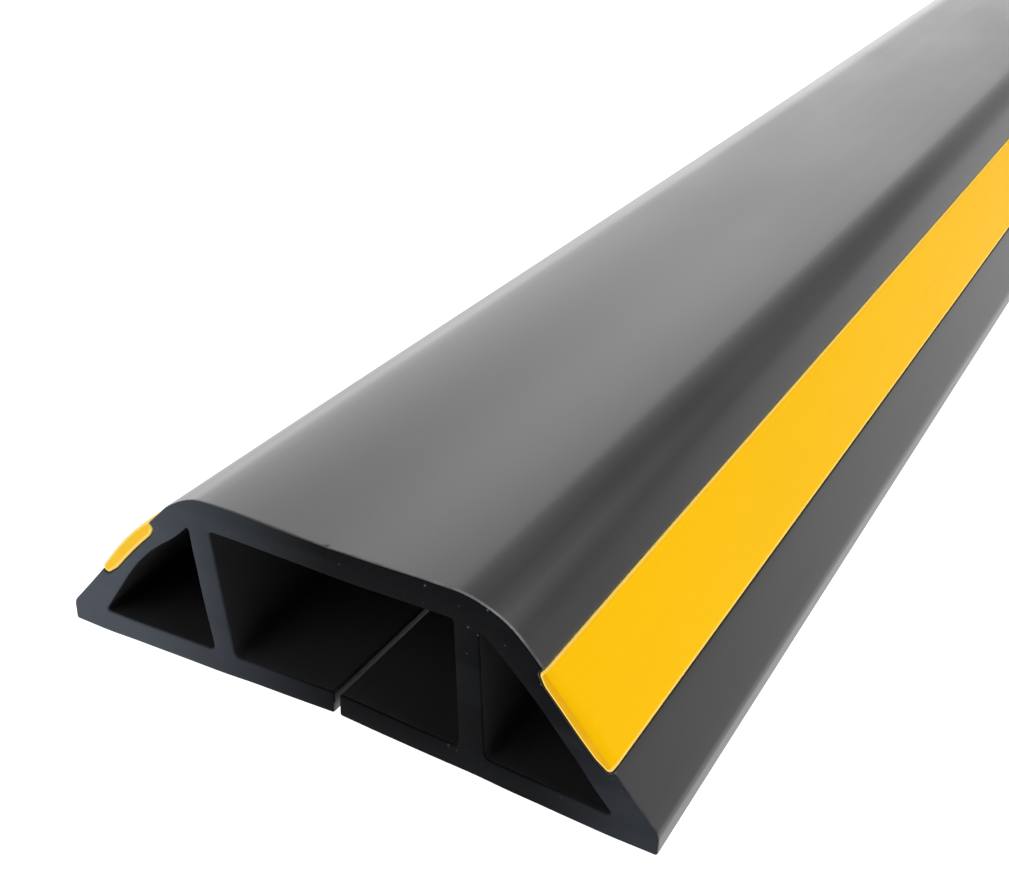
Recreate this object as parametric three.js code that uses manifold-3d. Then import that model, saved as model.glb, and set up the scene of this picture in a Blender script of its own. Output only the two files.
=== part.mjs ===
// A floor cord cover: one length of soft black extrusion with a flat top, two ramps down to the floor,
// a wide cable channel between two webs, a small channel under each ramp, and a slit base that opens
// to let cables in. A yellow warning strip lies in a groove along each ramp.
// Millimetres. The finished part has +Z up and its length along Y, with the floor at Z = 0.

import * as THREE from "three";
import { mergeVertices } from "three/addons/utils/BufferGeometryUtils.js";
import Module from "manifold-3d";

// Overall sizes
const LENGTH = 1000;
const BASE_WIDTH = 83;
const HEIGHT = 25;
const APEX_WIDTH = 42.6; // between the two points where the ramps would meet the top if it had no round corners

// Outside corners and feet
const TOP_CORNER_RADIUS = 11;
const TOE_HEIGHT = 2.8;
const TOE_RADIUS = 1.3;
const LAND_WIDTH = 6; // the flat strip that each foot rests on
const BASE_ARCH = 1.6; // how far the underside rises from the feet to the slit

// Walls
const WALL = 3.8;
const FLOOR_WALL = 3.1;
const WEB_WALL = 3.2;
const WEB_TOP_SPACING = 36.2; // between the middles of the webs, at the ceiling
const WEB_FOOT_SPACING = 35.4; // the same, at the channel's floor
const SLIT_GAP = 0.8;
const CHANNEL_ARCH = 1.5; // how far the middle of a side channel's slope is pushed out, before it is rounded
const CHANNEL_ARCH_RADIUS = 40;

// Inside corners
const TIP_RADIUS = 0.4;
const WEB_FILLET = 0.9;
const WEB_PEAK_FILLET = 0.4; // in the narrow corner between a web and its ramp

// Warning strips
const STRIP_WIDTH = 13;
const STRIP_DEPTH = 1.3; // below the ramp's surface
const STRIP_EDGE_DEPTH = 0.85; // the same at its two edges
const STRIP_UPPER_TAPER = 1.5; // from its upper edge to where it has its full depth
const STRIP_LOWER_TAPER = 2; // the same from its lower edge
const STRIP_PROUD = 0.3; // the strip's edges above the ramp's surface
const STRIP_CROWN = 0.25; // its middle above its edges
const STRIP_FROM_TOE = 8.6; // along the ramp, from the toe's corner to the strip's lower edge
const STRIP_BED_RADIUS = 2.5;
const STRIP_EDGE_RADIUS = 0.55;
const STRIP_CROWN_RADIUS = 60;
const STRIP_CLEARANCE = 0.3;

// Fineness of the round corners
const DEGREES_PER_FACET = 5;
const CUT_MARGIN = 1; // how far a cutter runs past what it cuts

const BLACK = 0x2b2c2e;
const YELLOW = 0xf8bd12;

const wasm = await Module();
wasm.setup();

const corner = (x, y, radius = 0) => ({ x, y, radius });
const between = (a, b, t) => corner(a.x + (b.x - a.x) * t, a.y + (b.y - a.y) * t);
const mirrored = (corners) => corners.map((c) => corner(-c.x, c.y, c.radius)).reverse();

// The point where the line through a and b meets the line through c and d.
function meeting(a, b, c, d) {
  const cross = (p, q) => p.x * q.y - p.y * q.x;
  const ab = corner(b.x - a.x, b.y - a.y);
  const cd = corner(d.x - c.x, d.y - c.y);
  const ac = corner(c.x - a.x, c.y - a.y);
  return between(a, b, cross(ac, cd) / cross(ab, cd));
}

// The part of a convex outline that lies to the left of the line from a to b. The two new corners get
// the radius for their height.
function leftOf(corners, a, b, lowRadius, highRadius) {
  const side = (p) => (b.x - a.x) * (p.y - a.y) - (b.y - a.y) * (p.x - a.x);
  const kept = [];
  corners.forEach((p, i) => {
    const next = corners[(i + 1) % corners.length];
    if (side(p) >= 0) kept.push(p);
    if (side(p) >= 0 !== side(next) >= 0) {
      const cut = meeting(p, next, a, b);
      kept.push(corner(cut.x, cut.y, cut.y < HEIGHT / 2 ? lowRadius : highRadius));
    }
  });
  return kept;
}

// A closed outline through the corners, with each one rounded by as much of its radius as its sides have
// room for.
function roundedShape(corners) {
  const points = [];
  corners.forEach((c, i) => {
    const here = new THREE.Vector2(c.x, c.y);
    const before = corners[(i + corners.length - 1) % corners.length];
    const after = corners[(i + 1) % corners.length];
    const back = new THREE.Vector2(before.x, before.y).sub(here);
    const ahead = new THREE.Vector2(after.x, after.y).sub(here);
    const turn = Math.PI - back.angleTo(ahead);
    const room = Math.min(back.length(), ahead.length()) / 2;
    const tangent = Math.min(c.radius * Math.tan(turn / 2), room);
    if (tangent < 1e-6) {
      points.push(here);
      return;
    }
    const start = here.clone().add(back.setLength(tangent));
    const end = here.clone().add(ahead.setLength(tangent));
    const radius = tangent / Math.tan(turn / 2);
    const inward = start.clone().add(end).multiplyScalar(0.5).sub(here);
    const centre = here.clone().add(inward.setLength(Math.hypot(tangent, radius)));
    const first = start.clone().sub(centre);
    const bend = Math.sign(first.cross(end.clone().sub(centre)));
    const facets = Math.max(2, Math.ceil(THREE.MathUtils.radToDeg(turn) / DEGREES_PER_FACET));
    for (let k = 0; k <= facets; k++) {
      points.push(first.clone().rotateAround(new THREE.Vector2(), (bend * turn * k) / facets).add(centre));
    }
  });
  return new THREE.Shape(points);
}

// A bar of this section, centred on its length.
function bar(corners, length) {
  const geometry = new THREE.ExtrudeGeometry(roundedShape(corners), { depth: length, bevelEnabled: false });
  return geometry.translate(0, 0, -length / 2);
}

function toSolid(geometry) {
  const bare = geometry.clone();
  bare.deleteAttribute("normal");
  bare.deleteAttribute("uv");
  const merged = mergeVertices(bare, 1e-4);
  const mesh = new wasm.Mesh({
    numProp: 3,
    vertProperties: merged.attributes.position.array,
    triVerts: new Uint32Array(merged.index.array),
  });
  return new wasm.Manifold(mesh);
}

function toGeometry(solid) {
  const mesh = solid.getMesh();
  const geometry = new THREE.BufferGeometry();
  geometry.setAttribute("position", new THREE.BufferAttribute(mesh.vertProperties, 3));
  geometry.setIndex(new THREE.BufferAttribute(mesh.triVerts, 1));
  const faceted = geometry.toNonIndexed();
  faceted.computeVertexNormals();
  return faceted;
}

// The right-hand ramp, from the toe's corner to the apex, and the directions along it and out of it
const toe = corner(BASE_WIDTH / 2, TOE_HEIGHT, TOE_RADIUS);
const apex = corner(APEX_WIDTH / 2, HEIGHT, TOP_CORNER_RADIUS);
const rampLength = Math.hypot(apex.x - toe.x, apex.y - toe.y);
const rampOut = corner((apex.y - toe.y) / rampLength, (toe.x - apex.x) / rampLength);
const rampTilt = Math.atan2(rampOut.x, rampOut.y);
const sunkInRamp = (p) => corner(p.x - rampOut.x * WALL, p.y - rampOut.y * WALL);

function outsideCorners() {
  const land = corner(BASE_WIDTH / 2 - LAND_WIDTH, 0);
  const right = [land, corner(BASE_WIDTH / 2, 0), toe, apex];
  return [corner(0, BASE_ARCH), ...right, ...mirrored(right)];
}

// The whole hollow under the top and the ramps, as if it had no webs
function hollowCorners() {
  const floorMiddle = corner(0, BASE_ARCH + FLOOR_WALL);
  const floorEdge = corner(BASE_WIDTH / 2 - LAND_WIDTH, FLOOR_WALL);
  const ceiling = [corner(0, HEIGHT - WALL), corner(1, HEIGHT - WALL)];
  const ramp = [sunkInRamp(toe), sunkInRamp(apex)];
  const tip = meeting(floorMiddle, floorEdge, ...ramp);
  const peak = meeting(...ceiling, ...ramp);
  const middle = between(tip, peak, 0.5);
  const right = [
    corner(tip.x, tip.y, TIP_RADIUS),
    corner(middle.x + rampOut.x * CHANNEL_ARCH, middle.y + rampOut.y * CHANNEL_ARCH, CHANNEL_ARCH_RADIUS),
    corner(peak.x, peak.y, Math.max(0, TOP_CORNER_RADIUS - WALL)),
  ];
  return [floorMiddle, ...right, ...mirrored(right)];
}

// The two ends of a line up the right-hand web, this far outward from its middle
function webLine(outward) {
  const foot = corner(WEB_FOOT_SPACING / 2 + outward, BASE_ARCH + FLOOR_WALL);
  const top = corner(WEB_TOP_SPACING / 2 + outward, HEIGHT - WALL);
  return [foot, top];
}

function cableChannelCorners() {
  const [foot, top] = webLine(-WEB_WALL / 2);
  const [mirrorTop, mirrorFoot] = mirrored([foot, top]);
  const openToRight = leftOf(hollowCorners(), mirrorTop, mirrorFoot, WEB_FILLET, WEB_FILLET);
  return leftOf(openToRight, foot, top, WEB_FILLET, WEB_FILLET);
}

function sideChannelCorners() {
  const [foot, top] = webLine(WEB_WALL / 2);
  return leftOf(hollowCorners(), top, foot, WEB_FILLET, WEB_PEAK_FILLET);
}

// The right-hand strip's section, with the ramp's surface at y = 0 and +x down the ramp. Grown by the
// clearance, it is the groove's.
function stripCorners(grown, above) {
  const half = STRIP_WIDTH / 2 + grown;
  const bed = -STRIP_DEPTH - grown;
  const edge = -STRIP_EDGE_DEPTH - grown;
  return [
    corner(-half, edge, STRIP_EDGE_RADIUS + grown),
    corner(-half + STRIP_UPPER_TAPER, bed, STRIP_BED_RADIUS + grown),
    corner(half - STRIP_LOWER_TAPER, bed, STRIP_BED_RADIUS + grown),
    corner(half, edge, STRIP_EDGE_RADIUS + grown),
    ...above(half),
  ];
}

const stripTop = (half) => [
  corner(half, STRIP_PROUD, STRIP_EDGE_RADIUS),
  corner(0, STRIP_PROUD + STRIP_CROWN, STRIP_CROWN_RADIUS),
  corner(-half, STRIP_PROUD, STRIP_EDGE_RADIUS),
];
const grooveMouth = (half) => [corner(half, CUT_MARGIN), corner(-half, CUT_MARGIN)];

const sided = (corners, side) => (side > 0 ? corners : mirrored(corners));

// Moves a strip or groove from the origin to its place on the right-hand (1) or left-hand (-1) ramp.
function putOnRamp(object, side) {
  const middle = between(toe, apex, (STRIP_FROM_TOE + STRIP_WIDTH / 2) / rampLength);
  object.position.set(side * middle.x, middle.y, 0);
  object.rotation.z = -side * rampTilt;
  object.updateMatrix();
  return object;
}

function makeBody() {
  const cutLength = LENGTH + 2 * CUT_MARGIN;
  const slitTop = BASE_ARCH + FLOOR_WALL + CUT_MARGIN;
  const slit = [
    corner(-SLIT_GAP / 2, -CUT_MARGIN),
    corner(SLIT_GAP / 2, -CUT_MARGIN),
    corner(SLIT_GAP / 2, slitTop),
    corner(-SLIT_GAP / 2, slitTop),
  ];
  const sections = [cableChannelCorners(), sideChannelCorners(), mirrored(sideChannelCorners()), slit];
  const cutters = sections.map((section) => bar(section, cutLength));
  for (const side of [1, -1]) {
    const groove = bar(sided(stripCorners(STRIP_CLEARANCE, grooveMouth), side), cutLength);
    cutters.push(groove.applyMatrix4(putOnRamp(new THREE.Object3D(), side).matrix));
  }
  const whole = toSolid(bar(outsideCorners(), LENGTH));
  return toGeometry(cutters.reduce((solid, cutter) => solid.subtract(toSolid(cutter)), whole));
}

const rubber = new THREE.MeshStandardMaterial({ color: BLACK, roughness: 0.5, metalness: 0 });
const warning = new THREE.MeshStandardMaterial({ color: YELLOW, roughness: 0.45, metalness: 0 });

const cover = new THREE.Group();

const body = new THREE.Mesh(makeBody(), rubber);
body.name = "cover_body";
cover.add(body);

for (const [name, side] of [["warning_strip_right", 1], ["warning_strip_left", -1]]) {
  const strip = new THREE.Mesh(bar(sided(stripCorners(0, stripTop), side), LENGTH), warning);
  strip.name = name;
  cover.add(putOnRamp(strip, side));
}

// The section was drawn upright in XY. This lays its length along Y, with the section's up as +Z.
cover.rotation.x = Math.PI / 2;

export default cover;
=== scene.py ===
import math
from typing import NamedTuple

import bmesh
import bpy
from bpy.props import FloatProperty, FloatVectorProperty, IntProperty
from mathutils import Matrix, Vector, noise
from mathutils.geometry import intersect_line_line


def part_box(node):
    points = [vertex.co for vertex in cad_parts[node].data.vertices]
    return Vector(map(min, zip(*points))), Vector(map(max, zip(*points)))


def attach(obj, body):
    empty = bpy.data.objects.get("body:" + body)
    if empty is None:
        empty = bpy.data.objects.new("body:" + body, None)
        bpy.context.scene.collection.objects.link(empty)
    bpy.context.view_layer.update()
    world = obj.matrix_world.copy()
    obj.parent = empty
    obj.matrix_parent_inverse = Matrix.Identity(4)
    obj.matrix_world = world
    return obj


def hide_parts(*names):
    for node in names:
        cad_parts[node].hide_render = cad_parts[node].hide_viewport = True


bl_info = {
    "name": "Floor cord cover",
    "version": (1, 0, 0),
    "blender": (4, 5, 0),
    "location": "3D View > Sidebar > Cord cover",
    "description": "A soft black floor cord cover with a yellow warning strip along each ramp",
    "category": "Object",
}

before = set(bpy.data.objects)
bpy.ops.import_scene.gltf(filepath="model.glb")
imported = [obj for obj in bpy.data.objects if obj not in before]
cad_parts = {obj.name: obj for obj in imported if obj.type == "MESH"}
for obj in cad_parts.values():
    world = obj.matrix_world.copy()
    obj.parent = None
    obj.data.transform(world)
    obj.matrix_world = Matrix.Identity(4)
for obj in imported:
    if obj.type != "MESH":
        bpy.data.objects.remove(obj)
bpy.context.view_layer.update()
BODY_LOW, BODY_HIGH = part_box("cover_body")
BODY_SIZE = BODY_HIGH - BODY_LOW
SIDES = {"right": 1, "left": -1}
MM = 0.001
END_LOOPS = tuple(x * MM for x in (0.5, 0.8, 1.2, 1.7, 2.4, 6))  # extra sections inside each cut end
CLEAR_OF_ROUNDING = 1.4  # they lie at least this many times as deep as the cut's rounding
CLOSE = 0.01 * MM
SOFT_EDGE = 0.35 * MM  # the radius of the body's plain edges
FOOT_BEND = 60 * MM  # the radius where a foot's land turns up into the arch
MOST_OF_A_SIDE = 0.49  # the rounding of a corner takes no more of its sides
DEGREES_A_SEGMENT = 6
HARD_EDGE = math.radians(38)

WANDER_LENGTH = 190 * MM  # between two bends of the soft bar, about
WEB_REACH = 5 * MM  # how far from a web its lean dies away
SHOULDER_SHARE = 0.64  # the lift grows from the middle of the top to this share of its half width
SHOULDER = 22 * MM  # from the middle to where the left shoulder is pressed
SHOULDER_REACH = 4.5 * MM
WALL_MIDDLE, WALL_REACH = 14.5 * MM, 9 * MM  # up the left ramp, where its wall bows
SLOPE_MIDDLE, SLOPE_REACH = 16 * MM, 12.2 * MM  # up the right ramp, where its channel's slope is flattened
SLOPE_STARTS, SLOPE_ENDS = (-1.6 * MM, -2.4 * MM), (-6.5 * MM, -4.5 * MM)  # how far out of that ramp's surface
CUT_WAVES_ACROSS, CUT_WAVES_UP = 7 * MM, 4 * MM  # between two bends of an uneven cut, about

NICK_ASIDE = -0.6 * MM  # from the middle of the near end's top edge
NICK_AREA = 3.2 * MM  # the edge is sliced finely this far around the nick
NICK_WIDTH, NICK_LENGTH = 0.34 * MM, 0.4 * MM
HIGHLIGHT_DEPTH = 1.3 * MM  # the painted highlight along the cut's top edge reaches no deeper inside the outline
CHANNEL_DEPTH = 2.4 * MM  # what lies deeper is a channel's rim
HIGHLIGHT_STARTS, HIGHLIGHT_FULL = 0.45 * MM, 0.15 * MM  # in from a strip's long edge, where its painted highlight starts and where it is full
BROADER_BELOW = 0.1 * MM  # the painted highlight along a strip's lower edge is the broader one by twice this
HIGHLIGHT_BELOW = 0.12 * MM  # the painted highlight round the right strip's cut ends starts this far below the ramp's surface
DIE_STRETCH, BROAD_STRETCH = (1.0, 0.004, 1.0), (1.0, 0.012, 1.0)  # the die's lines run along the bar
KNIFE_TILT = (0.0, math.radians(12), 0.0)


def distance(name, description, default, largest=10.0):
    return FloatProperty(
        name=name, description=description, default=default, min=0.0, max=largest, precision=5, unit="LENGTH"
    )


def turning(name, description, degrees):
    return FloatProperty(
        name=name, description=description, default=math.radians(degrees), unit="ROTATION", subtype="ANGLE"
    )


def paint(name, description, colour):
    return FloatVectorProperty(
        name=name, description=description, default=colour, min=0.0, max=1.0, size=3, subtype="COLOR"
    )


def share(name, description, default, largest=1.0):
    return FloatProperty(name=name, description=description, default=default, min=0.0, max=largest)


class CordCoverBody(bpy.types.PropertyGroup):
    """The black extrusion's section and length."""

    length: distance("Length", "From one cut end to the other", BODY_SIZE.y)
    base_width: distance("Base width", "Across both feet", BODY_SIZE.x)
    height: distance("Height", "From the floor to the flat top", BODY_SIZE.z)
    apex_width: distance("Apex width", "Between the points where the ramps' lines meet the top's", 42.6 * MM)
    top_corner: distance("Top corner radius", "Where the top turns down into a ramp", 11 * MM)
    toe_height: distance("Toe height", "The upright edge of a foot", 2.8 * MM)
    toe_corner: distance("Toe corner radius", "Where a ramp turns down into the toe", 1.5 * MM)
    land: distance("Foot land", "The flat strip that each foot rests on", 6 * MM)
    arch: distance("Base arch", "How far the underside rises from the feet to the slit", 1.6 * MM)
    wall: distance("Wall", "The top's and the ramps' thickness", 3.8 * MM)
    floor_wall: distance("Base wall", "The base's thickness", 3.1 * MM)
    web: distance("Web", "The thickness of the two upright webs", 3.2 * MM)
    web_top_spacing: distance("Web spacing, top", "Between the middles of the webs at the ceiling", 36.2 * MM)
    web_foot_spacing: distance("Web spacing, foot", "Between the middles of the webs at the base", 35.4 * MM)
    slit: distance("Slit", "The gap between the two halves of the base", 0.8 * MM)
    channel_arch: distance("Channel arch", "How far the side channels' slopes are pushed out", 1.5 * MM)
    channel_arch_radius: distance("Channel arch radius", "Rounds the arch of the side channels", 40 * MM)
    web_fillet: distance("Web fillet", "The inside corners of the channels at the webs", 0.9 * MM)
    tip_fillet: distance("Tip fillet", "The side channel's sharp corners", 0.4 * MM)
    cut_edge: distance("Cut edge", "The worn edge round the cut ends", 0.25 * MM)
    sag: distance("Sag", "How far the middle of the top hangs below its edges", 0.04 * MM)
    flex: distance("Flex", "How far both shoulders are lifted at the near end", 0.26 * MM)
    push: distance("Push", "How far the left shoulder is pushed outward at the near end", 0.5 * MM)
    lean: distance("Lean", "How far the webs' heads lean to the left at the near end", 1.2 * MM)
    bow: distance("Bow", "How far the left ramp's wall is bowed outward at the near end", 0.5 * MM)
    slide: distance("Slide", "How far the left ramp's wall is pushed up at the near end", 1.2 * MM)
    press: distance("Press", "How far the left shoulder's corner is pressed down at the near end", 0.6 * MM)
    flatten: distance("Flatten", "How far the right channel's slope is flattened at the near end", 0.9 * MM)
    flex_reach: distance("Flex reach", "How far from the near end the flexed shape dies away", 120 * MM)
    nick: distance("Nick", "The depth of the small nick in the near end's top edge", 0.1 * MM)
    wander: distance("Wander", "How far the soft bar strays from a straight line", 0.22 * MM)
    unevenness: distance("Cut unevenness", "How far the knife strayed from a flat cut", 0.08 * MM)
    rings: IntProperty(
        name="Rings", description="Sections along the length that can wander", default=72, min=4, max=200
    )


class CordCoverStrip(bpy.types.PropertyGroup):
    """The warning strips' section and their place on the ramps."""

    width: distance("Width", "Up the ramp", 13 * MM)
    depth: distance("Depth", "Below the ramp's surface, at the bed", 1.3 * MM)
    edge_depth: distance("Edge depth", "Below the ramp's surface, at both edges", 0.85 * MM)
    upper_taper: distance("Upper taper", "From the upper edge to the full depth", 1.5 * MM)
    lower_taper: distance("Lower taper", "From the lower edge to the full depth", 2 * MM)
    proud: distance("Proud", "How far its edges stand above the ramp", 0.3 * MM)
    crown: distance("Crown", "How far its middle stands above its edges", 0.25 * MM)
    from_toe: distance("From toe", "Up the ramp from the toe's corner to its lower edge", 8.6 * MM)
    bed_corner: distance("Bed corner radius", "Where the tapers meet the bed", 2.5 * MM)
    edge_corner: distance("Edge corner radius", "Along its edges", 0.55 * MM)
    crown_corner: distance("Crown radius", "Across its surface", 60 * MM)
    seam: distance("Seam", "The fine gap between the strip and its groove", 0.12 * MM)
    mouth: distance("Groove mouth radius", "Rounds the groove's two upper edges", 0.2 * MM)
    end_round: distance("End rounding", "How far in from its outline a cut end is rounded", 0.38 * MM)
    end_slope: distance("End slope", "How far from the cut the rounding starts", 0.25 * MM)
    end_droop: distance("End droop", "How far the right strip's surface is drawn down at its ends", 0.5 * MM)
    left_droop: distance("Left end droop", "The same of the left strip, which was cut squarer", 0.05 * MM)
    end_reach: distance("End droop's reach", "How far from the cut the surface starts to droop", 1.4 * MM)


class CordCoverFinish(bpy.types.PropertyGroup):
    """Colours of the two rubbers."""

    black: paint("Black", "The extruded skin", (0.022, 0.022, 0.023))
    black_bloom: paint("Black bloom", "Where the skin is a little greyer", (0.032, 0.032, 0.033))
    # painted highlight: a bright line laid along the cut ends' top edge, strongest on the right shoulder
    black_edge_highlight: paint("Black edge highlight", "The thin cut edge highlight along the cut ends' top edge", (0.13, 0.13, 0.135))
    black_cut: paint("Cut black", "The cut ends", (0.0024, 0.0027, 0.0034))
    black_cut_scuffed: paint("Scuffed cut black", "Where the knife dragged", (0.0046, 0.005, 0.0058))
    # painted light: this paler cut colour makes the cut ends lighter on the left and towards the right-hand
    # toe, where they would catch more light
    black_cut_lit: paint("Lit cut black", "Where the knife went in, on the left", (0.068, 0.078, 0.096))
    crumb: paint("Crumb", "Specks of dust on the cut ends", (0.10, 0.10, 0.105))
    yellow: paint("Yellow", "The warning strips", (0.88, 0.49, 0.0012))
    yellow_deep: paint("Deep yellow", "Where the strips are a little deeper", (0.86, 0.465, 0.0012))
    # painted highlight: the pale colour laid along the strips' long edges and round their cut ends
    yellow_highlight: paint("Pale yellow", "The strips' edges", (0.95, 0.68, 0.17))
    yellow_cut: paint("Cut yellow", "The strips' cut ends", (0.78, 0.39, 0.0012))
    # painted light on the strips' cut ends, paler on the left, as on the black cut
    yellow_cut_lit: paint("Lit cut yellow", "Where the knife went in, on the left", (0.92, 0.535, 0.022))


class CordCoverStage(bpy.types.PropertyGroup):
    """Floor, light and camera."""

    floor_size: distance("Floor size", "Across the pale floor", 24.0, largest=100.0)
    floor_colour: paint("Floor colour", "The pale floor", (0.25, 0.25, 0.25))
    floor_glow: share("Floor glow", "Light that the floor sends up by itself", 1.1, largest=5.0)
    ambient: share("Ambient", "Light from every side", 0.03, largest=5.0)
    left_light: share("Left light", "The broad softbox behind on the left", 4.2, largest=50.0)
    right_light: share("Right light", "The high softbox on the right", 8.2, largest=50.0)
    back_light: share("Back light", "The low softbox behind", 1.6, largest=50.0)
    front_light: share("Front light", "The softbox in front, on the left", 2.0, largest=50.0)
    camera_aside: distance("Camera aside", "To the right of the near end's middle", 78.1 * MM)
    camera_back: distance("Camera back", "In front of the near end", 105.9 * MM)
    camera_height: distance("Camera height", "Above the floor", 110.9 * MM)
    camera_yaw: turning("Camera yaw", "Turned to the left of the bar's length", 28.22)
    camera_pitch: turning("Camera pitch", "Looking down", 28.96)
    camera_roll: turning("Camera roll", "Tipped about its own view", 1.87)
    focal_length: FloatProperty(
        name="Focal length", description="Of a lens on a 36 mm wide sensor", default=50.2, unit="CAMERA"
    )


class Softbox(NamedTuple):
    """A soft-edged rectangle of light around the studio: its middle, half sizes and soft edge in degrees."""

    azimuth: float
    elevation: float
    half_width: float
    half_height: float
    softness: float
    strength: object


class Corner(NamedTuple):
    """A corner of a section, across (x) and up (z), and the radius that rounds it."""

    x: float
    z: float
    radius: float = 0.0


class Ramp(NamedTuple):
    """A ramp: its toe's corner, and the directions up along it and out of its surface."""

    toe: Vector
    along: Vector
    outward: Vector

    def measure(self, x, z):
        """How far up the ramp of its own side a place lies, and how far out of its surface."""
        off = Vector((abs(x), z)) - self.toe
        return off.dot(self.along), off.dot(self.outward)


def clamped(value, low=0.0):
    return min(1.0, max(low, value))


def smooth_step(value, low, high):
    """0 at low and before it, 1 at high and after it, and smooth between them."""
    done = clamped((value - low) / (high - low))
    return done**2 * (3 - 2 * done)


def bell(value, middle, reach):
    """1 at the middle, dying away smoothly to both sides."""
    return math.exp(-(((value - middle) / reach) ** 2))


def mirrored(corners):
    return [Corner(-c.x, c.z, c.radius) for c in reversed(corners)]


def meeting(line, other, radius=0.0):
    """The corner where two endless lines meet, each given by two points."""
    point = intersect_line_line(*(p.to_3d() for p in (*line, *other)))[0]
    return Corner(point.x, point.y, radius)


def ramp_of(body):
    """The right-hand ramp, from the toe's corner to the apex."""
    toe = Vector((body.base_width / 2, body.toe_height))
    along = (Vector((body.apex_width / 2, body.height)) - toe).normalized()
    return Ramp(toe, along, Vector((along.y, -along.x)))


def on_ramp(body, up, out, radius=0.0):
    """A corner this far up the right-hand ramp from its toe, and this far out of its surface."""
    ramp = ramp_of(body)
    point = ramp.toe + ramp.along * up + ramp.outward * out
    return Corner(point.x, point.y, radius)


def strip_bed(body, strip, grown):
    """The strip's sunk side, from its lower edge to its upper one. Grown by the seam, it is the groove's."""
    low = strip.from_toe - grown
    high = strip.from_toe + strip.width + grown
    edge = -strip.edge_depth - grown
    bed = -strip.depth - grown
    return [
        on_ramp(body, low, edge, strip.edge_corner),
        on_ramp(body, low + strip.lower_taper, bed, strip.bed_corner),
        on_ramp(body, high - strip.upper_taper, bed, strip.bed_corner),
        on_ramp(body, high, edge, strip.edge_corner),
    ]


def strip_section(body, strip):
    """The right-hand strip's whole section."""
    high = strip.from_toe + strip.width
    middle = strip.from_toe + strip.width / 2
    return strip_bed(body, strip, 0.0) + [
        on_ramp(body, high, strip.proud, strip.edge_corner),
        on_ramp(body, middle, strip.proud + strip.crown, strip.crown_corner),
        on_ramp(body, strip.from_toe, strip.proud, strip.edge_corner),
    ]


def base_line(body):
    """The top of the base, from the slit to over the right-hand foot's land."""
    land_start = body.base_width / 2 - body.land
    return Vector((0.0, body.arch + body.floor_wall)), Vector((land_start, body.floor_wall))


def web_line(body, outward):
    """A line up the right-hand web, this far outward from its middle."""
    foot = Vector((body.web_foot_spacing / 2 + outward, body.arch + body.floor_wall))
    return foot, Vector((body.web_top_spacing / 2 + outward, body.height - body.wall))


def outside_corners(body, strip):
    """The section's outline, which runs in at the slit and round the middle channel."""
    slit_side = body.slit / 2
    right = [
        Corner(slit_side, body.arch, SOFT_EDGE),
        Corner(body.base_width / 2 - body.land, 0.0, FOOT_BEND),
        Corner(body.base_width / 2, 0.0, SOFT_EDGE),
        on_ramp(body, 0.0, 0.0, body.toe_corner),
        on_ramp(body, strip.from_toe - strip.seam, 0.0, strip.mouth),
        *strip_bed(body, strip, strip.seam),
        on_ramp(body, strip.from_toe + strip.width + strip.seam, 0.0, strip.mouth),
        Corner(body.apex_width / 2, body.height, body.top_corner),
    ]
    web = web_line(body, -body.web / 2)
    foot = meeting(web, base_line(body), body.web_fillet)
    ceiling = Corner(web[1].x, web[1].y, body.tip_fillet)
    lip = Corner(slit_side, base_line(body)[0].y, SOFT_EDGE)
    channel = [ceiling, foot, lip]
    return right + mirrored(right) + mirrored(channel) + channel


def side_channel_corners(body):
    """The right-hand side channel, between the web, the base and the arched underside of the ramp."""
    ramp_low = Vector(on_ramp(body, 0.0, -body.wall)[:2])
    ramp_high = Vector(on_ramp(body, body.height, -body.wall)[:2])
    ceiling = Vector((0.0, body.height - body.wall)), Vector((body.base_width, body.height - body.wall))
    web = web_line(body, body.web / 2)
    tip = meeting(base_line(body), (ramp_low, ramp_high), body.tip_fillet)
    peak = meeting(ceiling, (ramp_low, ramp_high))
    out = Vector(on_ramp(body, 0.0, 0.0)[:2]) - ramp_low
    middle = (Vector(tip[:2]) + Vector(peak[:2])) / 2 + out.normalized() * body.channel_arch
    return [
        meeting(web, base_line(body), body.web_fillet),
        tip,
        Corner(middle.x, middle.y, body.channel_arch_radius),
        meeting((middle, Vector(peak[:2])), web, body.tip_fillet),
    ]


def add_outline(bm, corners, y):
    """A closed outline through the corners, each rounded by as much of its radius as there is room for."""
    face = bm.faces.new([bm.verts.new((c.x, y, c.z)) for c in corners])
    face.normal_update()
    round_cuts = []
    for loop, corner in zip(face.loops, corners):
        back = loop.link_loop_prev.vert.co - loop.vert.co
        ahead = loop.link_loop_next.vert.co - loop.vert.co
        turn = math.pi - back.angle(ahead)
        room = MOST_OF_A_SIDE * min(back.length, ahead.length)
        round_cuts.append((loop.vert, turn, min(corner.radius * math.tan(turn / 2), room)))
    for vert, turn, offset in round_cuts:
        if offset > 0:
            bmesh.ops.bevel(
                bm, geom=[vert], offset=offset, offset_type="OFFSET", affect="VERTICES", profile=0.5,
                segments=max(2, math.ceil(math.degrees(turn) / DEGREES_A_SEGMENT)), material=-1,
                clamp_overlap=False,
            )


def cut_short(bm, longest):
    """Divides every edge that is longer than this."""
    by_cuts = {}
    for edge in bm.edges:
        by_cuts.setdefault(math.ceil(edge.calc_length() / longest) - 1, []).append(edge)
    for cuts, edges in by_cuts.items():
        if cuts > 0:
            bmesh.ops.subdivide_edges(bm, edges=edges, cuts=cuts)


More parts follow.
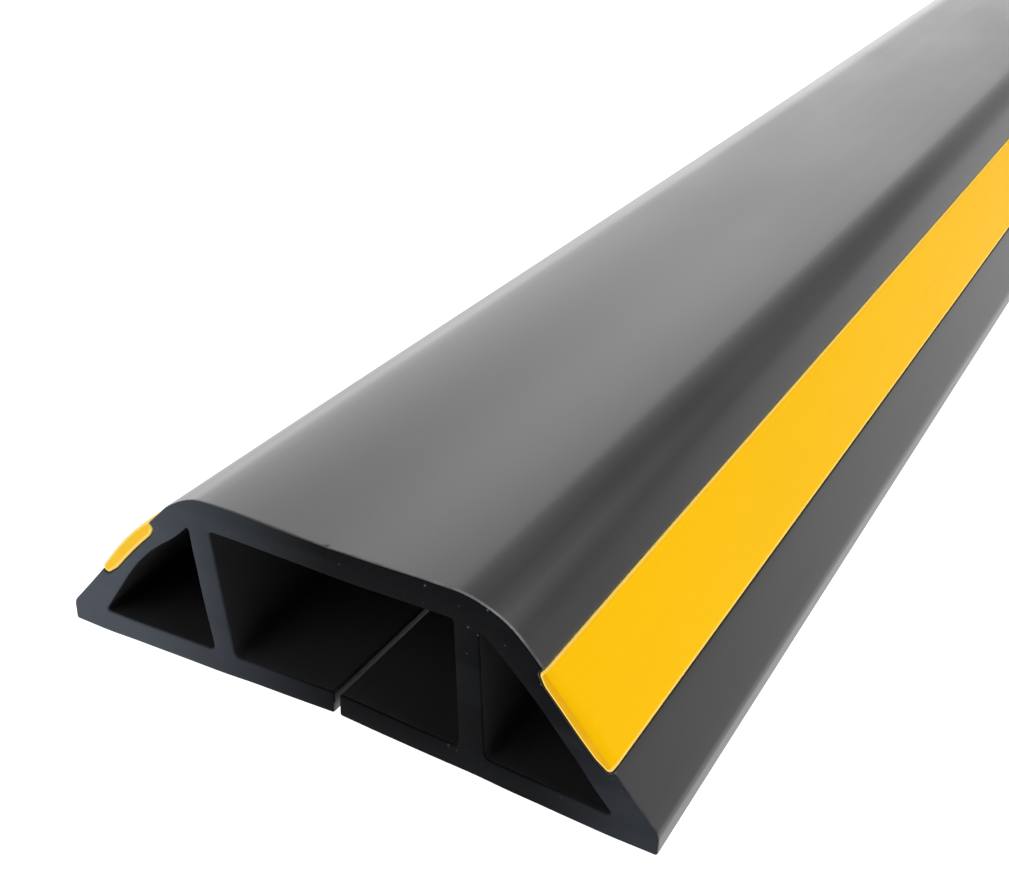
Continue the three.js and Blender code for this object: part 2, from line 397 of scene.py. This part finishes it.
def round_cut_end(bm, end_y, inset, slope, steps):
    """Rounds the rim of one cut end: the cut is inset in rings, and each ring is drawn back from the cut.
    The inner half is cut rubber, the outer half is still skin. "rim" is 1 on the rounding and 0 on the cut; it
    is the mask of the painted highlights along the cut edges."""
    highlight_share = bm.verts.layers.float.get("rim") or bm.verts.layers.float.new("rim")
    cap = [f for f in bm.faces if all(abs(v.co.y - end_y) < CLOSE for v in f.verts)]
    dulled = list(cap)
    draw_back = []
    for step in range(steps):
        angle, next_angle = (math.radians(90) * k / steps for k in (step, step + 1))
        ring = bmesh.ops.inset_region(
            bm, faces=cap, use_boundary=True, use_even_offset=True, depth=0.0,
            thickness=inset * (math.cos(angle) - math.cos(next_angle)),
        )["faces"]
        rim = {v for f in ring for v in f.verts} - {v for f in cap for v in f.verts}
        draw_back.append((rim, 1 - math.sin(angle)))
        if step >= steps // 2:
            dulled += ring
    for face in cap:
        for vert in face.verts:
            vert[highlight_share] = 0.0
    for rim, back in draw_back:
        bmesh.ops.translate(bm, verts=list(rim), vec=(0.0, -math.copysign(slope * back, end_y), 0.0))
        for vert in rim:
            vert[highlight_share] = 1.0
    for face in dulled:
        face.material_index = 1


def wandering(body, x, y, z):
    """How far soft extrusion strays from a straight bar: it wanders sideways, and its top sags."""
    lift = z / body.height
    along = y / WANDER_LENGTH
    sideways = noise.noise((along, 3.1, 0.0)) + 0.5 * lift * noise.noise((2.3 * along, 8.7, 0.0))
    hollow = math.cos(min(1.0, abs(x) / (body.apex_width / 2)) * math.pi / 2) ** 2
    upward = (1 + noise.noise((2.9 * along, 5.3, 0.0))) * lift**3 * (0.5 - hollow)
    return Vector((body.wander * sideways, 0.0, body.sag * upward))


def flexing_right(body, ramp, up, out):
    """The right side's own share of the flex: its channel's arched slope is flattened."""
    on_slope = max(0.0, 1 - ((up - SLOPE_MIDDLE) / SLOPE_REACH) ** 2)
    on_slope *= smooth_step(out, *SLOPE_STARTS) * smooth_step(out, *SLOPE_ENDS)
    inward = -body.flatten * on_slope * ramp.outward
    return Vector((inward.x, 0.0, inward.y))


def flexing_left(body, ramp, x, z, up, out, at_web):
    """The left side's own share: its shoulder is pushed and pressed, and its wall bows and slides up."""
    lift = z / body.height
    to_shoulder = min(1.0, -x / (SHOULDER_SHARE * body.apex_width / 2))
    in_wall = bell(up, WALL_MIDDLE, WALL_REACH) * clamped(1.5 + out / (4.5 * MM)) * min(1.0, z / (5 * MM))
    wall = (body.bow * ramp.outward + body.slide * ramp.along) * in_wall
    aside = body.push * lift**2 * to_shoulder + 0.5 * body.lean * at_web * min(0.0, 2 * lift - 1) + wall.x
    pressed = body.press * lift**2 * bell(-x, SHOULDER, SHOULDER_REACH)
    return Vector((-aside, 0.0, wall.y - pressed))


def flexing(body, ramp, x, y, z):
    """How far the near end is flexed: its shoulders are lifted, its webs lean, and its sides differ."""
    lift = z / body.height
    at_web = bell(abs(x), body.web_top_spacing / 2, WEB_REACH)
    raised = body.flex * lift**2 * smooth_step(abs(x), 0.0, SHOULDER_SHARE * body.apex_width / 2)
    moved = Vector((-body.lean * at_web * (2 * lift - 1), 0.0, raised))
    up, out = ramp.measure(x, z)
    if x > 0:
        moved += flexing_right(body, ramp, up, out)
    elif x < 0:
        moved += flexing_left(body, ramp, x, z, up, out, at_web)
    return moved * bell(y, -body.length / 2, body.flex_reach)


def lie_soft(bm, body):
    """Lets the bar wander and sag, as soft extrusion does, flexes its near end and leaves uneven cuts."""
    ramp = ramp_of(body)
    for vert in bm.verts:
        x, y, z = vert.co
        vert.co += wandering(body, x, y, z) + flexing(body, ramp, x, y, z)
        if body.length / 2 - abs(y) < 3 * body.cut_edge:
            place = x / CUT_WAVES_ACROSS, math.copysign(4.0, y), z / CUT_WAVES_UP
            vert.co.y += body.unevenness * noise.noise(place)


def slice_near(bm, middle, reach, normal, offsets):
    """Cuts the faces that lie this near a point along planes at these distances from it."""
    for offset in offsets:
        faces = [f for f in bm.faces if all((v.co - middle).length < reach for v in f.verts)]
        touched = {e for f in faces for e in f.edges} | {v for f in faces for v in f.verts}
        bmesh.ops.bisect_plane(bm, geom=[*faces, *touched], plane_co=middle + normal * offset, plane_no=normal)


def nick_top_edge(bm, body):
    """A small nick where the knife left the near end's top edge."""
    middle = Vector((NICK_ASIDE, -body.length / 2, body.height))
    across, lengthwise = Vector((1.0, 0.0, 0.0)), Vector((0.0, 1.0, 0.0))
    slice_near(bm, middle, NICK_AREA, across, [step * 0.18 * MM for step in range(-4, 5)])
    slice_near(bm, middle, NICK_AREA, lengthwise, [0.35 * MM, 0.65 * MM])
    for vert in bm.verts:
        off = vert.co - middle
        if off.length < 3 * MM:
            depth = body.nick * bell(off.x, 0.0, NICK_WIDTH) * bell(off.y, 0.0, NICK_LENGTH)
            vert.co += Vector((0.0, 0.6 * depth, -depth))


def finish_body(bm, body):
    """Nicks the near end's top edge, keeps the painted highlight along the cut edge to both ends' right
    shoulders, on the outside, and gives the channels' rims to the cut."""
    nick_top_edge(bm, body)
    highlight_share = bm.verts.layers.float["rim"]
    ramp = ramp_of(body)
    channel_rims = set()
    for vert in bm.verts:
        x, y, z = vert.co
        inside = min(body.height - z, -ramp.measure(x, z)[1])
        if vert[highlight_share] > 0:
            # painted highlight along the cut edge, kept mostly to the right shoulder
            on_right = clamped(0.35 + x / (28 * MM))
            on_shoulder = clamped((z - 14 * MM) / (8 * MM), low=0.2)
            vert[highlight_share] = on_right * on_shoulder if inside < HIGHLIGHT_DEPTH else 0.0
        if min(inside, z) > CHANNEL_DEPTH and body.length / 2 - abs(y) < 1.2 * body.cut_edge:
            channel_rims.add(vert)
    for face in bm.faces:
        if channel_rims.issuperset(face.verts):
            face.material_index = 1


def finish_strip(bm, body, strip):
    """Draws a strip's surface down towards its cut ends, and keeps the painted highlight round the right one's
    cut ends below the ramp's surface.
    """
    highlight_share = bm.verts.layers.float["rim"]
    ramp = ramp_of(body)
    for vert in bm.verts:
        x, y, z = vert.co
        out = ramp.measure(x, z)[1]
        nearness = max(0.0, 1 - (body.length / 2 - abs(y)) / strip.end_reach)
        droop = (strip.end_droop if x > 0 else strip.left_droop) * nearness**2
        droop *= clamped(0.5 + out / (0.8 * MM))
        vert.co.x -= math.copysign(droop * ramp.outward.x, x)
        vert.co.z -= droop * ramp.outward.y
        if x > 0 and out > -HIGHLIGHT_BELOW:
            vert[highlight_share] = 0.0


def link_piece(name, bm):
    """Makes the mesh an object at the origin."""
    mesh = bpy.data.meshes.new(name)
    bm.to_mesh(mesh)
    bm.free()
    piece = bpy.data.objects.new(name, mesh)
    bpy.context.scene.collection.objects.link(piece)
    return piece


def extrude_bar(name, outlines, body, longest, end_inset, end_slope, end_steps, shaped):
    """A bar of this section, as long as the body, with rounded cut ends, which shaped(bm) finishes. No edge of
    its section is longer than longest. Its second material is the cut's."""
    near = -body.length / 2
    bm = bmesh.new()
    for corners in outlines:
        add_outline(bm, corners, near)
    bmesh.ops.delete(bm, geom=bm.faces[:], context="FACES_ONLY")
    cut_short(bm, longest)
    bmesh.ops.triangle_fill(bm, use_beauty=True, edges=bm.edges[:], normal=(0.0, -1.0, 0.0))
    far_side = bmesh.ops.extrude_face_region(bm, geom=bm.faces[:])["geom"]
    far_verts = [v for v in far_side if isinstance(v, bmesh.types.BMVert)]
    bmesh.ops.translate(bm, verts=far_verts, vec=(0.0, body.length, 0.0))
    lengthwise = [e for e in bm.edges if abs(e.verts[0].co.y - e.verts[1].co.y) > body.length / 2]
    bmesh.ops.subdivide_edges(bm, edges=lengthwise, cuts=body.rings, use_grid_fill=True)
    for end_y in (near, -near):
        for inside in END_LOOPS:
            if inside > CLEAR_OF_ROUNDING * end_slope:
                place = (0.0, end_y - math.copysign(inside, end_y), 0.0)
                geometry = [*bm.verts, *bm.edges, *bm.faces]
                bmesh.ops.bisect_plane(bm, geom=geometry, plane_co=place, plane_no=(0.0, 1.0, 0.0))
        round_cut_end(bm, end_y, end_inset, end_slope, end_steps)
    bmesh.ops.recalc_face_normals(bm, faces=bm.faces[:])
    section = bm.verts.layers.float_vector.new("section")
    for vert in bm.verts:
        vert[section] = vert.co
    shaped(bm)
    lie_soft(bm, body)
    for face in bm.faces:
        face.smooth = True
    for edge in bm.edges:
        edge.smooth = edge.calc_face_angle(0.0) < HARD_EDGE
    return link_piece(name, bm)


class NodeBench:
    """Places and links shader nodes in one tree."""

    def __init__(self, tree):
        self.tree = tree

    def add(self, kind, inputs=None, **settings):
        node = self.tree.nodes.new(kind)
        for key, value in settings.items():
            setattr(node, key, value)
        for key, value in (inputs or {}).items():
            if isinstance(value, bpy.types.NodeSocket):
                self.tree.links.new(value, node.inputs[key])
            else:
                node.inputs[key].default_value = value
        return node

    def maths(self, operation, *values):
        return self.add("ShaderNodeMath", dict(enumerate(values)), operation=operation).outputs[0]

    def ranged(self, value, low, high, to_low=0.0, to_high=1.0, kind="SMOOTHSTEP"):
        inputs = {"Value": value, "From Min": low, "From Max": high, "To Min": to_low, "To Max": to_high}
        return self.add("ShaderNodeMapRange", inputs, interpolation_type=kind).outputs["Result"]

    def placed(self, scale, rotation=(0.0, 0.0, 0.0)):
        """Object coordinates in metres, stretched by this scale."""
        where = self.add("ShaderNodeTexCoord").outputs["Object"]
        inputs = {"Vector": where, "Rotation": rotation, "Scale": scale}
        return self.add("ShaderNodeMapping", inputs).outputs["Vector"]

    def cloud(self, vector, scale, detail=2.0, roughness=0.5):
        inputs = {"Vector": vector, "Scale": scale, "Detail": detail, "Roughness": roughness}
        return self.add("ShaderNodeTexNoise", inputs).outputs["Fac"]

    def mixed(self, mask, first, second):
        inputs = {0: mask, 6: first, 7: second}
        return self.add("ShaderNodeMix", inputs, data_type="RGBA").outputs[2]


def emptied(owner):
    """A bench in the emptied node tree of a material or a world."""
    owner.use_nodes = True
    owner.node_tree.nodes.clear()
    return NodeBench(owner.node_tree)


def new_group(name, numbers, outputs):
    """An empty shader group with these number inputs (name: default) and outputs."""
    group = bpy.data.node_groups.new(name, "ShaderNodeTree")
    for label, default in numbers.items():
        socket = group.interface.new_socket(label, in_out="INPUT", socket_type="NodeSocketFloat")
        socket.default_value = default
    for label in outputs:
        group.interface.new_socket(label, in_out="OUTPUT", socket_type="NodeSocketFloat")
    bench = NodeBench(group)
    return group, bench, bench.add("NodeGroupInput").outputs, bench.add("NodeGroupOutput")


def die_lines():
    """Extruded skin: fine lines drawn along the length by the die, a soft grain and broad mottling."""
    numbers = {"Line Height": 1.0, "Grain Height": 1.0, "Mottle": 1.0}
    group, bench, given, out = new_group("die lines", numbers, ("Height", "Tone"))
    lines = bench.cloud(bench.placed(DIE_STRETCH), 700.0, detail=3.0, roughness=0.6)
    broad_lines = bench.cloud(bench.placed(BROAD_STRETCH), 160.0)
    grain = bench.cloud(bench.placed((1.0, 0.6, 1.0)), 2600.0, roughness=0.65)
    mottle = bench.cloud(bench.placed((1.0, 0.35, 1.0)), 38.0, detail=3.0, roughness=0.55)
    drawn = bench.maths("ADD", bench.maths("MULTIPLY", lines, 0.5), broad_lines)
    height = bench.maths("MULTIPLY", drawn, given["Line Height"])
    height = bench.maths("MULTIPLY_ADD", grain, given["Grain Height"], height)
    tone = bench.maths("MULTIPLY", bench.ranged(mottle, 0.32, 0.68), given["Mottle"])
    tone = bench.maths("MULTIPLY_ADD", bench.ranged(lines, 0.35, 0.75), 0.3, tone)
    bench.tree.links.new(height, out.inputs["Height"])
    bench.tree.links.new(tone, out.inputs["Tone"])
    return group


def knife_marks_and_painted_light():
    """Cut rubber: drag lines of the knife, a torn grain, painted light that makes the cut paler on the left and
    towards the right-hand toe, and specks of dust.
    """
    numbers = {"Drag Height": 1.0, "Grain Height": 1.0, "Specks": 1.0}
    group, bench, given, out = new_group("knife marks and painted light", numbers, ("Height", "Scuff", "Painted Light", "Specks"))
    drag = bench.cloud(bench.placed((0.05, 1.0, 1.0), KNIFE_TILT), 1500.0, detail=3.0, roughness=0.6)
    bands = bench.cloud(bench.placed((0.15, 1.0, 1.0), KNIFE_TILT), 260.0, detail=1.0)
    place = bench.placed((1.0, 1.0, 1.0))
    grain = bench.cloud(place, 2200.0, detail=4.0, roughness=0.7)
    height = bench.maths("MULTIPLY", bench.maths("ADD", drag, bands), given["Drag Height"])
    height = bench.maths("MULTIPLY_ADD", grain, given["Grain Height"], height)
    scuff = bench.maths("MULTIPLY", bench.ranged(bands, 0.4, 0.7), bench.ranged(drag, 0.35, 0.75))
    x = bench.add("ShaderNodeSeparateXYZ", {"Vector": place}).outputs["X"]
    # painted light: paler on the left, and a little paler towards the right-hand toe
    painted_light_left = bench.ranged(x, 2 * MM, -37 * MM)
    painted_light_right = bench.ranged(x, 25 * MM, 42 * MM, 0.0, 0.36)
    uneven = bench.ranged(bands, 0.3, 0.7, -0.04, 0.04)
    painted_light = bench.maths("ADD", bench.maths("MAXIMUM", painted_light_left, painted_light_right), uneven)
    painted_light = bench.maths("MAXIMUM", painted_light, 0.0)
    cells = bench.add("ShaderNodeTexVoronoi", {"Vector": place, "Scale": 900.0, "Randomness": 1.0}).outputs
    near_centre = bench.ranged(cells["Distance"], 0.17, 0.05)
    lot = bench.add("ShaderNodeSeparateColor", {"Color": cells["Color"]}).outputs[0]
    from_web = bench.maths("ABSOLUTE", bench.maths("SUBTRACT", x, 19 * MM))
    crowding = bench.ranged(from_web, 14 * MM, 5 * MM, 0.3, 1.0)
    picked = bench.maths("MULTIPLY", bench.ranged(lot, 0.5, 1.0), crowding)
    specks = bench.maths("MULTIPLY", bench.maths("MULTIPLY", near_centre, picked), given["Specks"])
    for label, value in (("Height", height), ("Scuff", scuff), ("Painted Light", painted_light), ("Specks", specks)):
        bench.tree.links.new(value, out.inputs[label])
    return group


def cut_edge_highlight():
    """A mask for the painted highlight along a cut edge, a thin bright line broken up along its run."""
    group, bench, _, out = new_group("cut edge highlight", {}, ("Edge Highlight",))
    rim = bench.add("ShaderNodeAttribute", attribute_name="rim").outputs["Fac"]
    broken = bench.ranged(bench.cloud(bench.placed((1.0, 1.0, 1.0)), 700.0, detail=3.0), 0.3, 0.65, 0.4, 1.0)
    bench.tree.links.new(bench.maths("MULTIPLY", rim, broken), out.inputs["Edge Highlight"])
    return group


def strip_edge_highlights(body, strip):
    """A mask for the painted highlight along the strip's long edges, from their place in the section, and round
    its cut ends' edges.
    """
    group, bench, _, out = new_group("strip edge highlights", {}, ("Edge Highlight",))
    ramp = ramp_of(body)
    place = bench.add("ShaderNodeAttribute", attribute_name="section").outputs["Vector"]
    folded = bench.add("ShaderNodeVectorMath", {0: place}, operation="ABSOLUTE").outputs["Vector"]
    along = (ramp.along.x, 0.0, ramp.along.y)
    up_ramp = bench.add("ShaderNodeVectorMath", {0: folded, 1: along}, operation="DOT_PRODUCT").outputs["Value"]
    middle = ramp.toe.dot(ramp.along) + strip.from_toe + strip.width / 2 + BROADER_BELOW
    off = bench.maths("ABSOLUTE", bench.maths("SUBTRACT", up_ramp, middle))
    long_edges = bench.ranged(off, strip.width / 2 - HIGHLIGHT_STARTS, strip.width / 2 - HIGHLIGHT_FULL)
    cut_edge = bench.ranged(bench.add("ShaderNodeAttribute", attribute_name="rim").outputs["Fac"], 0.1, 0.9)
    bench.tree.links.new(bench.maths("MAXIMUM", long_edges, cut_edge), out.inputs["Edge Highlight"])
    return group


def rubber(name, marks, given, plain, layers, rims, dulled, roughness, relief, specular=0.5):
    """A rubber surface with the marks of this group. layers lays a colour on the plain one by each named mask,
    and rims, a painted highlight along edges, is a further mask's group and its colour. The roughness goes from
    the first value to the second by the mask that dulled names. relief is the depth that a height of 1 stands
    for."""
    material = bpy.data.materials.new(name)
    bench = emptied(material)
    marked = bench.add("ShaderNodeGroup", given, node_tree=marks).outputs
    colour = (*plain, 1.0)
    for mask, laid_on in layers.items():
        colour = bench.mixed(marked[mask], colour, (*laid_on, 1.0))
    if rims:
        rim = bench.add("ShaderNodeGroup", node_tree=rims[0]).outputs["Edge Highlight"]
        colour = bench.mixed(rim, colour, (*rims[1], 1.0))
    bump = bench.add("ShaderNodeBump", {"Height": marked["Height"], "Distance": relief, "Strength": 1.0})
    surface = bench.add("ShaderNodeBsdfPrincipled", {
        "Base Color": colour, "Roughness": bench.ranged(marked[dulled], 0.0, 1.0, *roughness),
        "Normal": bump.outputs["Normal"], "IOR": 1.5, "Specular IOR Level": specular,
    })
    bench.add("ShaderNodeOutputMaterial", {"Surface": surface.outputs["BSDF"]})
    return material


def node_group(maker, name):
    return bpy.data.node_groups.get(name) or maker()


def dress(piece, skin, cut, node):
    """Gives a piece its two rubbers, and puts it in its solid's place."""
    piece.data.materials.append(skin)
    piece.data.materials.append(cut)
    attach(piece, "root")
    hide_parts(node)


class CORDCOVER_OT_extrude_body(bpy.types.Operator):
    """Extrude the black body with its channels, slit base and strip grooves"""

    bl_idname = "cord_cover.extrude_body"
    bl_label = "Extrude body"

    def execute(self, context):
        scene = context.scene
        body, strip, finish = scene.cord_cover_body, scene.cord_cover_strip, scene.cord_cover_finish
        side_channel = side_channel_corners(body)
        outlines = [outside_corners(body, strip), side_channel, mirrored(side_channel)]
        piece = extrude_bar(
            "cover_extrusion", outlines, body, longest=1.5 * MM, end_inset=body.cut_edge,
            end_slope=body.cut_edge, end_steps=4, shaped=lambda bm: finish_body(bm, body),
        )
        skin = rubber(
            "black rubber skin", node_group(die_lines, "die lines"),
            {"Line Height": 0.4, "Grain Height": 0.3, "Mottle": 0.7},
            # the cut edge's painted highlight
            finish.black, {"Tone": finish.black_bloom}, (node_group(cut_edge_highlight, "cut edge highlight"), finish.black_edge_highlight),
            dulled="Tone", roughness=(0.31, 0.35), relief=0.02 * MM,
        )
        cut = rubber(
            "black rubber cut", node_group(knife_marks_and_painted_light, "knife marks and painted light"),
            {"Drag Height": 0.5, "Grain Height": 0.6, "Specks": 1.0}, finish.black_cut,
            # the painted light lays the paler cut colour on the left and towards the right-hand toe
            {"Scuff": finish.black_cut_scuffed, "Painted Light": finish.black_cut_lit, "Specks": finish.crumb},
            rims=None, dulled="Scuff", roughness=(0.55, 0.7), relief=0.04 * MM, specular=0.04,
        )
        dress(piece, skin, cut, "cover_body")
        return {"FINISHED"}


class CORDCOVER_OT_lay_strips(bpy.types.Operator):
    """Lay a yellow warning strip in the groove of each ramp"""

    bl_idname = "cord_cover.lay_strips"
    bl_label = "Lay warning strips"

    def execute(self, context):
        scene = context.scene
        body, strip, finish = scene.cord_cover_body, scene.cord_cover_strip, scene.cord_cover_finish
        # the painted highlight along the strips' edges and cut ends
        rims = strip_edge_highlights(body, strip), finish.yellow_highlight
        skin = rubber(
            "yellow rubber skin", node_group(die_lines, "die lines"),
            {"Line Height": 0.4, "Grain Height": 0.3, "Mottle": 0.5},
            finish.yellow, {"Tone": finish.yellow_deep}, rims,
            dulled="Tone", roughness=(0.38, 0.45), relief=0.02 * MM, specular=0.03,
        )
        cut = rubber(
            "yellow rubber cut", node_group(knife_marks_and_painted_light, "knife marks and painted light"),
            {"Drag Height": 0.5, "Grain Height": 0.5, "Specks": 0.0}, finish.yellow_cut,
            # the painted light lays the paler cut yellow on the left
            {"Scuff": finish.yellow_deep, "Painted Light": finish.yellow_cut_lit, "Specks": finish.yellow}, rims,
            dulled="Scuff", roughness=(0.55, 0.7), relief=0.04 * MM, specular=0.06,
        )
        section = strip_section(body, strip)
        for side_name, side in SIDES.items():
            corners = section if side > 0 else mirrored(section)
            piece = extrude_bar(
                "yellow_strip_" + side_name, [corners], body, longest=0.4 * MM, end_inset=strip.end_round,
                end_slope=strip.end_slope, end_steps=6, shaped=lambda bm: finish_strip(bm, body, strip),
            )
            dress(piece, skin, cut, "warning_strip_" + side_name)
        return {"FINISHED"}


def softbox(bench, azimuth, elevation, box):
    """A soft-edged rectangle of light around the studio. Azimuth runs from +Y towards +X."""
    spans = (azimuth, box.azimuth, box.half_width), (elevation, box.elevation, box.half_height)
    edges = []
    for angle, middle, half in spans:
        turned = bench.maths("WRAP", bench.maths("SUBTRACT", angle, math.radians(middle)), math.pi, -math.pi)
        off = bench.maths("ABSOLUTE", turned)
        outer, inner = math.radians(half + box.softness), math.radians(half - box.softness)
        edges.append(bench.ranged(off, outer, inner))
    return bench.maths("MULTIPLY", bench.maths("MULTIPLY", *edges), box.strength)


def light_studio(scene, stage):
    """A broad light behind on the left, a high one on the right, a low one behind and one in front on the left.
    The camera sees a white background."""
    world = bpy.data.worlds.new("soft studio")
    bench = emptied(world)
    direction = bench.add("ShaderNodeTexCoord").outputs["Generated"]
    x, y, z = bench.add("ShaderNodeSeparateXYZ", {"Vector": direction}).outputs
    azimuth = bench.maths("ARCTAN2", x, y)
    elevation = bench.maths("ARCSINE", z)
    light = stage.ambient
    for box in (
        Softbox(
            azimuth=-54, elevation=15, half_width=36, half_height=17, softness=26, strength=stage.left_light
        ),
        Softbox(
            azimuth=63, elevation=65, half_width=36, half_height=19, softness=21, strength=stage.right_light
        ),
        Softbox(
            azimuth=14, elevation=-4, half_width=36, half_height=16, softness=10, strength=stage.back_light
        ),
        Softbox(
            azimuth=-150, elevation=30, half_width=35, half_height=20, softness=20, strength=stage.front_light
        ),
    ):
        light = bench.maths("ADD", light, softbox(bench, azimuth, elevation, box))
    seen = bench.add("ShaderNodeLightPath").outputs["Is Camera Ray"]
    background = bench.add("ShaderNodeBackground", {
        "Color": (1.0, 1.0, 1.0, 1.0), "Strength": bench.maths("MAXIMUM", light, seen),
    })
    bench.add("ShaderNodeOutputWorld", {"Surface": background.outputs["Background"]})
    scene.world = world


def lay_floor(stage):
    bm = bmesh.new()
    bmesh.ops.create_grid(bm, x_segments=1, y_segments=1, size=stage.floor_size / 2)
    floor = link_piece("studio_floor", bm)
    material = bpy.data.materials.new("pale floor")
    bench = emptied(material)
    surface = bench.add("ShaderNodeBsdfPrincipled", {
        "Base Color": (*stage.floor_colour, 1.0), "Roughness": 0.8, "Specular IOR Level": 0.2,
        "Emission Color": (1.0, 1.0, 1.0, 1.0), "Emission Strength": stage.floor_glow,
    })
    bench.add("ShaderNodeOutputMaterial", {"Surface": surface.outputs["BSDF"]})
    floor.data.materials.append(material)


def set_camera(scene, stage, body):
    data = bpy.data.cameras.new("camera")
    data.sensor_width = 36.0
    data.lens = stage.focal_length
    data.clip_start, data.clip_end = 0.01, 50.0
    camera = bpy.data.objects.new("camera", data)
    scene.collection.objects.link(camera)
    place = Vector((stage.camera_aside, -body.length / 2 - stage.camera_back, stage.camera_height))
    turn = Matrix.Rotation(stage.camera_yaw, 4, "Z")
    tilt = Matrix.Rotation(math.pi / 2 - stage.camera_pitch, 4, "X")
    camera.matrix_world = Matrix.Translation(place) @ turn @ tilt @ Matrix.Rotation(stage.camera_roll, 4, "Z")
    scene.camera = camera


class CORDCOVER_OT_set_stage(bpy.types.Operator):
    """Lay the pale floor, light the studio and place the camera"""

    bl_idname = "cord_cover.set_stage"
    bl_label = "Set stage"

    def execute(self, context):
        scene = context.scene
        lay_floor(scene.cord_cover_stage)
        light_studio(scene, scene.cord_cover_stage)
        set_camera(scene, scene.cord_cover_stage, scene.cord_cover_body)
        scene.view_settings.view_transform = "Standard"
        return {"FINISHED"}


class CORDCOVER_PT_sidebar(bpy.types.Panel):
    """The cord cover's sizes, colours and operators"""

    bl_idname = "CORDCOVER_PT_sidebar"
    bl_label = "Floor cord cover"
    bl_space_type = "VIEW_3D"
    bl_region_type = "UI"
    bl_category = "Cord cover"

    def draw(self, context):
        for name, label in SETTINGS.items():
            box = self.layout.box()
            box.label(text=label)
            settings = getattr(context.scene, name)
            for key in settings.bl_rna.properties.keys():
                if key not in ("rna_type", "name"):
                    box.prop(settings, key)
        for operator in OPERATORS:
            self.layout.operator(operator.bl_idname)


SETTINGS = {
    "cord_cover_body": "Body",
    "cord_cover_strip": "Warning strips",
    "cord_cover_finish": "Colours",
    "cord_cover_stage": "Stage",
}
GROUPS = (CordCoverBody, CordCoverStrip, CordCoverFinish, CordCoverStage)
OPERATORS = (CORDCOVER_OT_extrude_body, CORDCOVER_OT_lay_strips, CORDCOVER_OT_set_stage)
CLASSES = (*GROUPS, *OPERATORS, CORDCOVER_PT_sidebar)


def register():
    for cls in CLASSES:
        bpy.utils.register_class(cls)
    for name, group in zip(SETTINGS, GROUPS):
        setattr(bpy.types.Scene, name, bpy.props.PointerProperty(type=group))


def unregister():
    for name in SETTINGS:
        delattr(bpy.types.Scene, name)
    for cls in reversed(CLASSES):
        bpy.utils.unregister_class(cls)


def main():
    register()
    bpy.ops.cord_cover.extrude_body()
    bpy.ops.cord_cover.lay_strips()
    bpy.ops.cord_cover.set_stage()
    bpy.context.view_layer.update()


if __name__ == "__main__":
    main()
